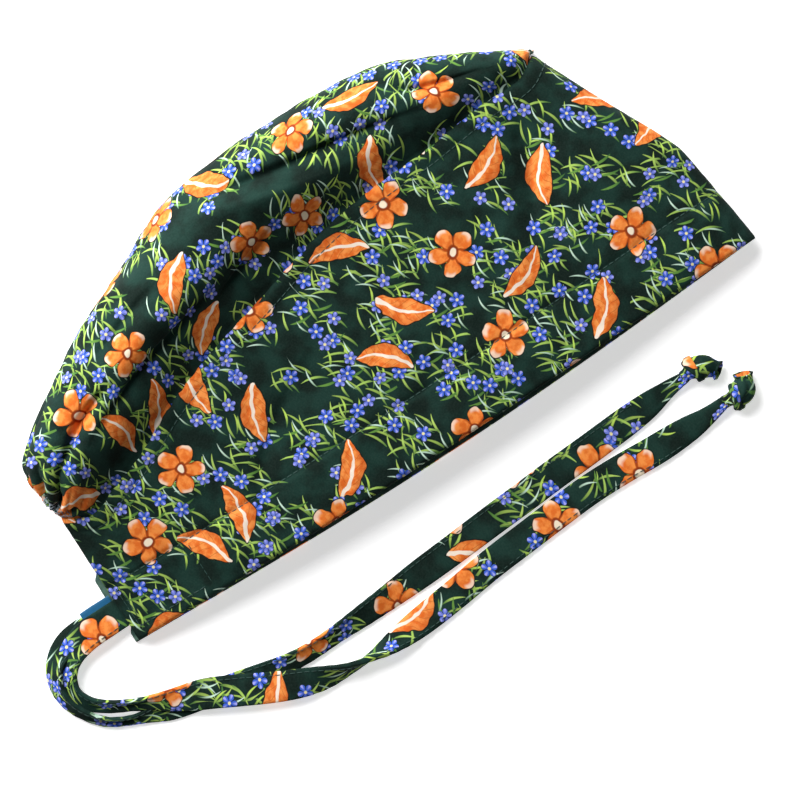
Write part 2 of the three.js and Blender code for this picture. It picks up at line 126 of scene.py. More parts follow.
# Gathers beside the elastic: place along the section, depth, width, reach along the cap
gathers = [
    (0.16, 0.6, 0.035, 0.05),
    (0.3, 1.0, 0.038, 0.1),
    (0.44, 0.9, 0.035, 0.07),
    (0.58, 1.0, 0.038, 0.09),
    (0.7, 0.6, 0.035, 0.05),
]

# The middles of the ties, from the hem's back corner
near_tie_route = [
    (1.8, 13.3, 3.3), (-2, 13.3, 3.9), (-8, 13.3, 4.6), (-14.5, 13.2, 4.7), (-19, 12.6, 4),
    (-24.5, 10.8, 3.5), (-29.5, 7.4, 3.5), (-32.8, 2.6, 3.5), (-33.8, -3.6, 3.5),
    (-31.0, -9.8, 3.5), (-25.2, -15.1, 3.5), (-15.7, -20.4, 3.5), (-4.8, -25.8, 3.5),
    (12.7, -33.4, 3.5), (23, -38.8, 3.5), (36.7, -46, 3.5), (47.4, -50.6, 3.5), (57, -53.8, 3.5),
    (66, -55.6, 2.9), (75, -56.2, 2), (85, -56.1, 1.5), (100, -55.1, 1.4), (115.6, -53.6, 1.4),
    (135, -51.3, 1.4), (154, -49.9, 1.4), (170, -48.7, 1.4), (183, -48, 1.4), (198, -48.2, 1.4),
    (214, -49.1, 1.4), (227, -49.3, 1.4), (236, -49.3, 1.5), (242.5, -48.8, 1.9),
    (248.5, -48.0, 2.8),
]
far_tie_route = [
    (-0.5, 13.3, 1), (-10, 14.2, 1), (-18, 15.2, 1), (-25.5, 14.6, 1), (-31.7, 11.8, 1),
    (-36, 7.2, 1), (-38.2, 1, 1), (-37.8, -6, 1), (-34.5, -13.2, 1), (-28.9, -20.0, 1),
    (-20.7, -24.7, 1), (-12, -27.6, 1), (-3, -30.4, 1), (8.3, -32.8, 1), (20.7, -35.2, 1),
    (36.4, -38.8, 1), (52.5, -41, 1), (70.7, -40.8, 1), (88.7, -40.2, 1), (107, -39.2, 1),
    (125.3, -38.2, 1), (144, -37, 1), (162, -36, 1), (174, -35.2, 1), (190.5, -34.4, 1),
    (207.7, -33.4, 1), (220, -32.6, 1),
    (228, -31.8, 1.2), (234, -31.3, 1.8), (240, -31.2, 2.6),
]

# How each tie lies: share of its length, width, thickness, roll in degrees
near_tie_lie = [
    (0.0, 12.0, 1.7, 0), (0.06, 12.0, 1.8, 4), (0.1, 9.6, 2.6, 20), (0.14, 7.0, 3.4, 30),
    (0.175, 5.4, 3.2, 34), (0.205, 5.2, 3.2, 34), (0.245, 8.8, 2.4, 14), (0.29, 12.6, 1.7, 0),
    (0.39, 12.2, 1.7, 0), (0.43, 10.4, 2.2, 25), (0.46, 8.0, 2.8, 62), (0.485, 6.4, 3.2, 98),
    (0.51, 8.4, 2.6, 142), (0.55, 11.4, 1.9, 172), (0.59, 12.2, 1.7, 180), (0.9, 12.2, 1.8, 180),
    (0.945, 10.6, 2.2, 180), (0.975, 7.2, 2.8, 180), (1.0, 4.8, 3.2, 180),
]
far_tie_lie = [
    (0.0, 12.0, 1.6, 0), (0.06, 11.0, 1.7, 6), (0.11, 8.0, 2.4, 35), (0.16, 6.0, 2.6, 52),
    (0.205, 4.6, 2.6, 44), (0.235, 4.6, 2.4, 40), (0.28, 9.0, 1.7, 8), (0.385, 9.4, 1.7, 6),
    (0.43, 8.4, 2.2, 22), (0.49, 8.0, 2.4, 28), (0.545, 9.8, 2.0, 16), (0.63, 12.0, 1.7, 0),
    (0.9, 12.2, 1.8, 0), (0.945, 10.6, 2.2, 0), (0.975, 7.2, 2.8, 0), (1.0, 4.8, 3.2, 0),
]

# The knots: the strap's way through, then width and height along it
near_knot_route = [
    (247.6, -48.2, 2.6), (250.4, -48.4, 3.6), (253.4, -48.8, 4.2), (256.6, -48.0, 4.4),
    (259.0, -45.0, 3.6), (260.4, -41.4, 3.2),
]
far_knot_route = [
    (239.2, -31.1, 2.6), (241.8, -30.6, 3.6), (244.8, -30.4, 4.2), (248.2, -31.6, 4.4),
    (251.2, -34.6, 3.6), (253.4, -37.6, 3.2),
]
knot_shape = [
    (0.0, 5.0, 3.4), (0.14, 5.2, 3.8), (0.3, 8.4, 6.4), (0.45, 9.8, 7.8), (0.6, 9.4, 7.4),
    (0.76, 7.4, 5.6), (0.86, 6.8, 5.0), (1.0, 7.8, 5.6),
]
knot_wrap = 0.34
knot_wrap_width = 4.2
knot_wrap_thickness = 1.5

tab_low, tab_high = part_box("label_tab")
to_row = np.array([1000 * tab_low.x + label_length, 1000 * tab_high.y - label_edge, 0.0])


def metres(points):
    """Points in millimetres from the hem's back corner, as metres in the row frame."""
    return (np.asarray(points, float) + to_row) / 1000


def hermite(p, q, v, w, t):
    """A cubic from p to q that leaves at the slope v and arrives at the slope w."""
    return (2 * p - 2 * q + v + w) * t**3 + (3 * q - 3 * p - 2 * v - w) * t**2 + v * t + p


def column(table, index):
    """A table's column at any place along it, by a smooth curve through its rows."""
    rows = np.array(table, float)
    marks, values = rows[:, 0], rows[:, index]
    last = len(marks) - 1
    order = np.arange(last + 1)
    before, after = np.maximum(order - 1, 0), np.minimum(order + 1, last)
    slopes = (values[after] - values[before]) / (marks[after] - marks[before])

    def curve(at):
        i = np.clip(np.searchsorted(marks, at, side="right") - 1, 0, last - 1)
        span = marks[i + 1] - marks[i]
        share = np.clip((at - marks[i]) / span, 0, 1)
        return hermite(values[i], values[i + 1], span * slopes[i], span * slopes[i + 1], share)

    return curve


def columns(table):
    return [column(table, i) for i in range(1, len(table[0]))]


seam_along, seam_up, edge_along, edge_up, ridge_height, side_height = columns(sections)
fold_along, fold_up = columns(front_fold)
hem_height, middle_height, seam_height = columns(panel_heights)


# Small helpers for points and waves
def hump(distance, width):
    """1 on a line, and falling off smoothly on both sides of it."""
    return np.exp(-((distance / width) ** 2))


def groove(distance, depth, width):
    """A rounded groove along a line, as relief."""
    return -depth * hump(distance, width)


def smoothstep(x, low, high):
    u = np.clip((x - low) / (high - low), 0, 1)
    return u * u * (3 - 2 * u)


def unit(vectors):
    return vectors / np.maximum(np.linalg.norm(vectors, axis=-1, keepdims=True), 1e-12)


def pair(x, y):
    return np.stack(np.broadcast_arrays(x, y), axis=-1)


def lerp(a, b, share):
    return a + (b - a) * np.asarray(share)[..., None]


def spaced(low, high, steps):
    return np.linspace(low, high, steps + 1)


def grid(rows, columns):
    return np.meshgrid(rows, columns, indexing="ij")


def grid_uv(along, around):
    return np.stack(grid(along, around), axis=-1).reshape(-1, 2)


def ring_angles(sides):
    return spaced(0, 2 * math.pi, sides)[:-1]


def run_length(points, axis):
    """The length walked along one axis of a grid or line of points."""
    steps = np.linalg.norm(np.diff(points, axis=axis), axis=-1)
    return np.pad(np.cumsum(steps, axis=axis), [(int(k == axis), 0) for k in range(steps.ndim)])


def ripple(u, v, height, shortest, longest, count=22):
    """Soft unevenness of about the height up and down, from waves between two lengths."""
    total = np.zeros_like(u)
    for _ in range(count):
        length = chance.uniform(shortest, longest)
        turn = chance.uniform(0, 2 * math.pi)
        phase = chance.uniform(0, 2 * math.pi)
        total += np.sin(2 * math.pi * (u * math.cos(turn) + v * math.sin(turn)) / length + phase)
    return height * total / math.sqrt(count)


def pucker(u, pitch):
    """Ripples across a line of stitching: a wave whose pace and height wander."""
    wander = ripple(u, 0.0, height=1.7, shortest=5 * pitch, longest=14 * pitch, count=8)
    swell = 0.65 + ripple(u, 3.0, height=0.35, shortest=4 * pitch, longest=11 * pitch, count=6)
    return np.sin(2 * math.pi * u / pitch + wander) * swell


def seam_puckers(u, distance, depth, pitch, reach):
    """Puckers that fade with the distance from the stitching that draws them in."""
    return depth * pucker(u, pitch) * np.exp(-distance / reach)


# The cap's plan and its smooth faces. A round of 0 is the upper layer's back edge and 2 the lower one's.
bend_share = front_bend / hem_half
bend_reach = 0.12


def station(around):
    """The share of the hem below, and the layer: 1 the upper, -1 the lower, between in the bend."""
    to_fold = 1 - np.abs(1 - around)
    flat_at = to_fold / (1 - bend_reach) * (1 - bend_share)
    turn = (around - (1 - bend_reach)) / (2 * bend_reach) * math.pi
    flat = to_fold <= 1 - bend_reach
    at = np.where(flat, flat_at, 1 - bend_share * (1 - np.sin(turn)))
    up = np.where(flat, np.where(around < 1, 1.0, -1.0), np.cos(turn))
    return at, up


def hem_point(at, up):
    sag = (near_hem_sag * (1 + up) + far_hem_sag * (1 - up)) / 2
    return pair(hem_half * at, -sag * np.sin(math.pi * at))


def seam_point(at):
    return pair(hem_half * seam_along(at), cap_height * seam_up(at))


def panel_plan(at, up, rise):
    """A point of the panel seen from above, between the hem, the seam, the back edge and the fold."""
    zero, one = np.zeros_like(at), np.ones_like(at)
    back = lerp(hem_point(zero, up), seam_point(zero), rise)
    front = pair(hem_half * fold_along(rise), cap_height * fold_up(rise))
    plan = lerp(hem_point(at, up), seam_point(at), rise)
    corner = lerp(hem_point(one, up), seam_point(one), rise)
    return plan + lerp(back, front, at) - lerp(back, corner, at)


def spline_points(ends, steps):
    """A smooth line through three points."""
    place = spaced(0, 2, steps)
    k = np.minimum(place.astype(int), 1)
    slopes = (ends[[1, 2, 2]] - ends[[0, 0, 1]]) / 2
    return hermite(ends[k], ends[k + 1], slopes[k], slopes[k + 1], (place - k)[:, None])


crease_steps = 10
crease_fade = 0.06
fold_steep = 0.17
fold_easy = 0.5
fold_share = 0.7


def crease_depth(x, y):
    """The depth of the creases at a place seen from above. Each is steeper on its upper side."""
    depth = np.zeros_like(x)
    for row in creases:
        ends = np.array(row[:6]).reshape(3, 2) * (hem_half, cap_height)
        line = spline_points(ends, crease_steps)
        nearest = np.full_like(x, np.inf)
        place = np.zeros_like(x)
        above = np.zeros_like(x, dtype=bool)
        for i in range(crease_steps):
            a, d = line[i], line[i + 1] - line[i]
            along = np.clip(((x - a[0]) * d[0] + (y - a[1]) * d[1]) / (d @ d), 0, 1)
            distance = np.hypot(x - a[0] - along * d[0], y - a[1] - along * d[1])
            place = np.where(distance < nearest, (i + along) / crease_steps, place)
            above = np.where(distance < nearest, d[0] * (y - a[1]) > d[1] * (x - a[0]), above)
            nearest = np.minimum(distance, nearest)
        fade = np.sin(math.pi * np.clip(place, crease_fade, 1 - crease_fade))
        width = puff_height * row[7]
        reach = width * np.where(above, fold_steep, fold_easy)
        fold = fold_share * (hump(nearest, width) + hump(nearest, reach))
        depth += puff_height * row[6] * fade * fold
    return depth


def panel_face(around, rise):
    at, up = station(around)
    plan = panel_plan(at, up, rise)
    hem, middle, seam = hem_height(at), middle_height(at), seam_height(at)
    bow = 4 * (middle - (hem + seam) / 2) * rise * (1 - rise)
    top = puff_height * (hem + (seam - hem) * rise + bow)
    dent = np.maximum(up, 0) ** 2 * crease_depth(plan[..., 0], plan[..., 1])
    return np.concatenate([plan, (top * (1 + up) / 2 - dent)[..., None]], axis=-1)


nudge = 1e-4


def seam_start(around):
    """A place just past the seam, straight on from the panel."""
    one = np.ones_like(around)
    edge = panel_face(around, one)
    return edge + unit(edge - panel_face(around, one - nudge)) * seam_gap


def bezier(a, b, c, d, u):
    v = 1 - u
    return v**3 * a + 3 * v * v * u * b + 3 * v * u * u * c + u**3 * d


# Where the stretches of the crown's section end, from the upper seam to the lower one, and how far out
valley_end = 0.34
shoulder_end = 0.68
under_end = 0.88
ridge_place = 0.56
flat_place = 0.8


def section_point(at, turn, high, low):
    """The crown's round section: the share of the way from seam to outline, and the height."""
    side = puff_height * side_height(at)
    top = np.maximum(puff_height * ridge_height(at), high)
    middle = (side + top) / 2
    ends = [0, valley_end, shoulder_end, under_end, 1]
    u1, u2, u3, u4 = (np.clip((turn - a) / (b - a), 0, 1) for a, b in zip(ends, ends[1:]))
    outs = [bezier(0, 0.12, 0.28, ridge_place, u1), bezier(ridge_place, 0.8, 1, 1, u2),
            bezier(1, 1, 0.96, flat_place, u3), flat_place * (1 - u4)]
    heights = [bezier(high, high, top, top, u1), bezier(top, top, middle, side, u2),
               bezier(side, 0.3 * side, 0, 0, u3), low * u4 * u4]
    stretches = [turn < end for end in ends[1:4]]
    return np.select(stretches, outs[:3], outs[3]), np.select(stretches, heights[:3], heights[3])


def smooth_crown(around, turn):
    upper, lower = seam_start(around), seam_start(2 - around)
    at, _ = station(around)
    out, height = section_point(at, turn, upper[..., 2], lower[..., 2])
    seam = lerp(upper, lower, turn)
    x = seam[..., 0] + (hem_half * edge_along(at) - seam[..., 0]) * out
    y = seam[..., 1] + (cap_height * edge_up(at) - seam[..., 1]) * out
    return np.stack([x, y, height], axis=-1)


round_per_length = (1 - bend_reach) / (hem_half - front_bend)
casing_end = casing_width * round_per_length
casing_gap = 2 * seam_gap * round_per_length
gather_lean = 0.5
gather_bend = 1.4
gather_soft = 0.8
gather_sharp = 0.75
sharp_width = 0.3


def gather_at(around, turn):
    """The depth of the gathers, each a soft dent with a sharp one in its middle."""
    at, _ = station(around)
    share = np.minimum(1, casing_ripple + (1 - casing_ripple) * around / casing_end)
    depth = np.zeros_like(turn)
    for place, deep, width, reach in gathers:
        bent = turn - place - gather_lean * reach * np.sin(at / reach * gather_bend)
        across = gather_soft * hump(bent, width) + gather_sharp * hump(bent, sharp_width * width)
        depth += share * gather_depth * deep * across * hump(at, reach)
    return depth


# Meshes
def grid_normals(points):
    return unit(np.cross(np.gradient(points, axis=0), np.gradient(points, axis=1)))


def upward_normals(points, row, column):
    """A grid's normals on the side that looks up at one of its points."""
    normals = grid_normals(points)
    return -normals if normals[row, column, 2] < 0 else normals


def add_object(name, data):
    obj = bpy.data.objects.new(name, data)
    bpy.context.scene.collection.objects.link(obj)
    return obj


def new_object(name, points, faces, uv=None, kinds=None):
    """A smooth mesh from points in millimetres, with its cloth's own millimetres as UV."""
    mesh = bpy.data.meshes.new(name)
    mesh.from_pydata(metres(points).tolist(), [], faces)
    if uv is not None:
        layer = mesh.uv_layers.new(name="cloth")
        loops = np.zeros(len(mesh.loops), np.int32)
        mesh.loops.foreach_get("vertex_index", loops)
        layer.data.foreach_set("uv", uv[loops].astype(np.float32).ravel())
    if kinds is not None:
        mesh.polygons.foreach_set("material_index", kinds.astype(np.int32))
    mesh.polygons.foreach_set("use_smooth", np.ones(len(mesh.polygons), bool))
    mesh.update()
    return add_object(name, mesh)


def face_grid(rows, columns, start=0, close_rows=False, close_columns=False):
    """Quads of a grid of points, stored row by row."""
    i = np.arange(rows if close_rows else rows - 1)
    j = np.arange(columns if close_columns else columns - 1)
    i, j = (k.ravel() for k in grid(i, j))
    i2, j2 = (i + 1) % rows, (j + 1) % columns
    corners = [i * columns + j, i2 * columns + j, i2 * columns + j2, i * columns + j2]
    return start + np.stack(corners, axis=1)


def tube_faces(rings, sides, start=0):
    """Faces of a tube with both ends closed."""
    faces = face_grid(rings, sides, start, close_columns=True).tolist()
    last = start + (rings - 1) * sides
    faces.append(list(range(start + sides - 1, start - 1, -1)))
    faces.append(list(range(last, last + sides)))
    return faces


def sweep(path, side, face, wide, high):
    """A ring of points round each point of a path, so far to its side and so far to its face."""
    return path[:, None, :] + side[:, None, :] * wide[..., None] + face[:, None, :] * high[..., None]


def walled_cloth(name, outer, wall, cloth_uv):
    """A closed wall of cloth: the outer face, the inner face under it and the rims between them."""
    rows, columns = outer.shape[:2]
    inner = outer - grid_normals(outer) * wall[..., None]
    inner[..., 2] = np.maximum(inner[..., 2], cloth_clearance)
    count = rows * columns
    outside = face_grid(rows, columns)
    inside = face_grid(rows, columns, count)[:, ::-1]
    around = np.concatenate([
        np.arange(columns),
        np.arange(1, rows) * columns + columns - 1,
        (rows - 1) * columns + np.arange(columns - 2, -1, -1),
        np.arange(rows - 2, 0, -1) * columns,
    ])
    following = np.roll(around, -1)
    rim = np.stack([around, following, following + count, around + count], axis=1)
    faces = np.concatenate([outside, inside, rim])
    points = np.concatenate([outer.reshape(-1, 3), inner.reshape(-1, 3)])
    kinds = np.repeat([0, 1, 0], [len(outside), len(inside), len(rim)])
    a, b, c = (points[faces[:, k]] for k in range(3))
    if np.sum(a * np.cross(b, c)) < 0:
        faces = faces[:, ::-1]
    uv = np.concatenate([cloth_uv.reshape(-1, 2)] * 2)
    return new_object(name, points, faces.tolist(), uv, kinds)


# Side panel
panel_rounds = np.concatenate([
    spaced(0, 1 - bend_reach, 184), spaced(1 - bend_reach, 1 + bend_reach, 44)[1:],
    spaced(1 + bend_reach, 2, 184)[1:],
])
hem_rows = 24
field_rows = 52
lower_relief = 0.35
edge_roll = 0.7
edge_roll_width = 1.6
hem_puff = 0.35
allowance_lift = 0.3
bend_clearance = 0.2

# The lower layer's back edge where it shows beside the upper one: how far, and between which heights
far_edge_shift = 2.6
far_edge_start = (17, 20)
far_edge_stop = (29, 33)
far_corner_shift = 1.6
far_corner_stop = (4, 7)
far_edge_reach = 9


def panel_rise(around, row):
    """The share of the panel's height at a row: the hem, its step, then the field up to the seam."""
    at, up = station(around)
    height = np.linalg.norm(hem_point(at, up) - panel_plan(at, up, np.ones_like(at)), axis=-1)
    turn_up = hem_turn_up / height
    over = (hem_turn_up + hem_step) / height
    in_field = over + (1 - over) * (row - hem_rows - 1) / field_rows
    return np.where(row <= hem_rows, turn_up * row / hem_rows, in_field), height


def lay_panel():
    """The panel's outer face with its small relief, its wall, its cloth coordinates and its lines."""
    rows = np.arange(hem_rows + 1 + field_rows + 1, dtype=float)
    around, row = grid(panel_rounds, rows)
    rise, height = panel_rise(around, row)
    face = panel_face(around, rise)
    _, up = station(around)
    v = rise * height
    to_seam = height - v
    bend_start = int(np.argmin(np.abs(panel_rounds - (1 - bend_reach))))
    walked = run_length(face, 0)
    before_bend = np.arange(len(panel_rounds))[:, None] <= bend_start
    u = np.where(before_bend, face[..., 0], face[bend_start, :, 0] + walked - walked[bend_start])

    relief = -edge_roll * np.clip(1 - v / edge_roll_width, 0, 1) ** 2
    relief += hem_puff * np.sin(math.pi * np.clip(v / hem_turn_up, 0, 1))
    relief += groove(v - hem_turn_up, depth=0.5, width=0.9)
    relief += seam_puckers(u, np.abs(v - hem_turn_up), depth=0.2, pitch=8.5, reach=7)
    relief += groove(to_seam, depth=0.8, width=1.1)
    relief += allowance_lift * smoothstep(to_seam, 7.5, 5.5) * smoothstep(to_seam, 0.3, 1.5)
    relief += groove(to_seam - topstitch_inset, depth=0.45, width=0.8)
    relief += seam_puckers(u + 40, to_seam, depth=0.3, pitch=7.5, reach=11)
    soft = ripple(u, v, height=0.42, shortest=22, longest=60)
    soft += ripple(u, v, height=0.1, shortest=7, longest=16)
    relief += soft * smoothstep(np.minimum(v, to_seam), 0, 8)
    relief *= lower_relief + (1 - lower_relief) * np.clip(up, 0, 1)

    normals = upward_normals(face, 10, 40)
    face = face + normals * relief[..., None]
    shown = far_edge_shift * (smoothstep(v, *far_edge_start) - smoothstep(v, *far_edge_stop))
    shown += far_corner_shift * (1 - smoothstep(v, *far_corner_stop))
    face[..., 0] -= shown * hump(face[..., 0], far_edge_reach) * np.clip(-up, 0, 1)
    lowest = cloth_clearance + bend_clearance * np.clip(up + 1, 0, 1)
    face[..., 2] = np.maximum(face[..., 2], lowest)
    wall = np.where(row <= hem_rows, hem_wall, cloth_wall)
    return face, wall, np.stack([u, v], axis=-1), v, to_seam, normals


panel_points, panel_wall, panel_uv, panel_v, panel_to_seam, panel_normals = lay_panel()
side_panel = walled_cloth("side_panel_cloth", panel_points, panel_wall, panel_uv)

# Crown
tip_clearance = 0.002
tip_calm = 0.05
nape_end = 0.16
crown_rounds = np.concatenate([
    spaced(casing_end, nape_end, 60), spaced(nape_end, 1 - bend_reach, 150)[1:],
    spaced(1 - bend_reach, 1 - tip_clearance, 28)[1:],
])
crown_turns = spaced(0, 1, 156)
seam_overlap = 0.8
nape_fold_height = 0.9
nape_fine_height = 0.3
casing_pucker = 0.3
valley_width = 0.022
overhang_lift = 2.5
overhang_shift = 1.7
cleft_depth = 1.8


def lay_crown(rounds, casing):
    """The crown's outer face, or the casing's, with gathers, creases and small relief."""
    around, turn = grid(rounds, crown_turns)
    place = smooth_crown(around, turn)
    normals = upward_normals(place, len(rounds) // 2, 50)
    on_top = 1 - smoothstep(turn, valley_end, shoulder_end)
    start = smoothstep(turn, 0, 0.08)
    depth = gather_at(around, turn) + on_top * start * crease_depth(place[..., 0], place[..., 1])
    across = run_length(place, 1)
    along = run_length(place, 0)
    ridge = int(np.argmin(np.abs(crown_turns - valley_end)))
    u = np.broadcast_to(along[:, ridge][:, None], across.shape)
    v = across - across[:, ridge][:, None]
    at, _ = station(around)
    height = place[..., 2]
    from_seam = np.minimum(across, across[:, -1:] - across)
    free = smoothstep(from_seam, 0, 6) * (0.3 + 0.7 * smoothstep(height, 1, 6))

    seam_tuck = groove(from_seam, depth=0.7, width=1.2) * smoothstep(height, 2, 8)
    folds = seam_puckers(u + 11, from_seam, depth=0.5, pitch=9.5, reach=14)
    folds += nape_fold_height * (2 * np.abs(pucker(v, 15.0)) ** 0.6 - 1) * hump(at, 0.055)
    folds += nape_fine_height * pucker(v + 70, 4.4) * hump(at, 0.03)
    folds += ripple(u, v, height=0.55, shortest=24, longest=70)
    folds += ripple(u, v, height=0.16, shortest=8, longest=20)
    valley = sum(hump(turn - row[0], valley_width) for row in gathers)
    lobe = (1 - np.clip(valley, 0, 1)) * smoothstep(turn, 0.05, 0.14) * (1 - smoothstep(turn, 0.72, 0.8))
    overhang = lobe * hump(at, 0.026)
    cleft = valley * hump(at, 0.05) * smoothstep(turn, 0.04, 0.12)
    relief = seam_tuck + folds * free + overhang_lift * overhang - cleft_depth * cleft
    if casing:
        relief = seam_tuck + casing_pucker * pucker(v, 3.2) * free
    else:
        back = unit(place[:1] - place[3:4])
        place = place + back * (overhang_shift * overhang)[..., None]

    to_upper, to_lower = place[:, :1] - place[:, 3:4], place[:, -1:] - place[:, -4:-3]
    on_upper = (across < across[:, -1:] / 2)[..., None]
    under = unit(np.where(on_upper, to_upper, to_lower))
    place = place + under * (seam_overlap * hump(from_seam, 0.8))[..., None]
    calm = smoothstep(np.broadcast_to(1 - around, depth.shape), tip_clearance, tip_calm)
    place = place + normals * ((relief - depth) * calm)[..., None]
    place[..., 2] = np.maximum(place[..., 2], cloth_clearance)
    return place, np.stack([u, v], axis=-1), normals


crown_points, crown_uv, _ = lay_crown(crown_rounds, False)
thin_end = 0.2 + 0.8 * smoothstep(1 - crown_rounds, tip_clearance, tip_calm)
crown_wall = cloth_wall * np.broadcast_to(thin_end[:, None], crown_points.shape[:2])
crown = walled_cloth("crown_cloth", crown_points, crown_wall, crown_uv)

casing_rounds = spaced(0, casing_end - casing_gap, 14)
casing_points, casing_uv, casing_normals = lay_crown(casing_rounds, True)
elastic_wall = np.full(casing_points.shape[:2], casing_wall)
casing = walled_cloth("elastic_casing", casing_points, elastic_wall, casing_uv)


# Ties
def path_frame(path):
    """The ways ahead, flat to the side, and up from both, at each point of a path."""
    ahead = unit(np.gradient(path, axis=0))
    flat = unit(np.cross([0, 0, 1.0], ahead))
    return ahead, flat, np.cross(ahead, flat)


def rounded(values, power):
    return np.sign(values) * np.abs(values) ** power


def at_lengths(line, length, places):
    """Points of a line at places given by the length walked."""
    return np.stack([np.interp(places, length, line[:, k]) for k in range(3)], axis=1)


def smooth_path(route, steps):
    """Points at even spaces on a smooth curve through the route, and its length."""
    points = np.array(route, float)
    ends = np.concatenate([[2 * points[0] - points[1]], points, [2 * points[-1] - points[-2]]])
    dense = []
    for k in range(1, len(ends) - 2):
        p0, p1, p2, p3 = ends[k - 1:k + 3]
        d0, d1, d2 = (np.linalg.norm(b - a) ** 0.5 for a, b in ((p0, p1), (p1, p2), (p2, p3)))
        t1 = ((p1 - p0) / d0 - (p2 - p0) / (d0 + d1) + (p2 - p1) / d1) * d1
        t2 = ((p2 - p1) / d1 - (p3 - p1) / (d1 + d2) + (p3 - p2) / d2) * d1
        t = np.linspace(0, 1, 40, endpoint=False)[:, None]
        dense.append(hermite(p1, p2, t1, t2, t))
    dense = np.concatenate(dense + [points[-1:]])
    length = run_length(dense, 0)
    return at_lengths(dense, length, spaced(0, length[-1], steps)), length[-1]


strap_sides = 28
strap_edge_round = 0.42
strap_face_round = 0.62
strap_ripple = 0.6
full_width = 11.5
fold_groove = 2.4
fold_groove_width = 0.2
second_groove = 1.2
second_groove_place = 0.62
second_groove_width = 0.16


def strap(name, route, lie, steps, uv_start=(0, 0), on_floor=True):
    """A folded strap: a flat rounded section swept along a route, and rolled as its table says."""
    path, length = smooth_path(route, steps)
    share = spaced(0, 1, steps)
    width, thick, roll = (curve(share) for curve in columns(lie))
    roll = np.radians(roll)[:, None]
    _, flat, above = path_frame(path)
    side = flat * np.cos(roll) + above * np.sin(roll)
    face = -flat * np.sin(roll) + above * np.cos(roll)
    angles = ring_angles(strap_sides)
    across = rounded(np.cos(angles), strap_edge_round)
    through = rounded(np.sin(angles), strap_face_round)
    along = share * length
    wave = 0.22 * pucker(along, 5.2) + ripple(along, 0.0, height=0.25, shortest=18, longest=50)
    wander = ripple(along, 9.0, height=0.25, shortest=20, longest=60)
    drawn = np.outer(np.clip(1 - width / full_width, 0, 1), np.clip(through, 0, 1))
    folds = fold_groove * hump(across - wander[:, None], fold_groove_width)
    folds += second_groove * hump(across - second_groove_place, second_groove_width)
    lift = strap_ripple * np.outer(wave, across) - drawn * folds
    rings = sweep(path, side, face, np.outer(width / 2, across), np.outer(thick / 2, through) + lift)
    if on_floor:
        rings[..., 2] += np.maximum(strap_clearance - rings[..., 2].min(axis=1), 0)[:, None]

    centres = np.array([rings[0].mean(axis=0), rings[-1].mean(axis=0)])
    vertices = np.concatenate([rings.reshape(-1, 3), centres])
    ring = np.arange(strap_sides)
    following = (ring + 1) % strap_sides
    last = steps * strap_sides
    start_centre = np.full(strap_sides, len(vertices) - 2)
    end_centre = start_centre + 1
    faces = face_grid(steps + 1, strap_sides, close_columns=True).tolist()
    faces += np.stack([following, ring, start_centre], axis=1).tolist()
    faces += np.stack([last + ring, last + following, end_centre], axis=1).tolist()

    perimeter = run_length(rings, 1).mean(axis=0)
    mirrored = 2 * perimeter[strap_sides // 2] - perimeter
    around = np.where(ring < strap_sides / 2, perimeter, mirrored)
    ends = [[along[0], 0], [along[-1], 0]]
    uv = np.concatenate([grid_uv(along + uv_start[0], around + uv_start[1]), ends])
    lay = {"centre": rings.mean(axis=1), "length": length, "side": side, "face": face,
           "width": width, "thick": thick}
    return new_object(name, vertices, faces, uv), lay


tie_steps = 380
near_tie, near_lay = strap("near_tie_strap", near_tie_route, near_tie_lie, tie_steps, uv_start=(30, 600))
far_tie, far_lay = strap("far_tie_strap", far_tie_route, far_tie_lie, tie_steps, uv_start=(410, 700))

# Knots. Pleats: depth, count and turn. The tail is cut back on its upper side and hollow inside its lip.
knot_steps = 70
knot_sides = 64
knot_pleats = [(0.11, 5, 0.8), (0.06, 9, 2.0)]
knot_twist = 1.6
tail_cut = 2.6
tail_start = 0.78
hollow_steps = 11
hollow_length = 16
lip_share = 0.86
wrap_steps = 56
wrap_sides = 24
wrap_lean = 1.5
wrap_clearance = (0.35, 0.3)
wrap_swell = 0.22
wrap_fold = 0.16
wrap_crown = 0.5
wrap_sink = 0.35


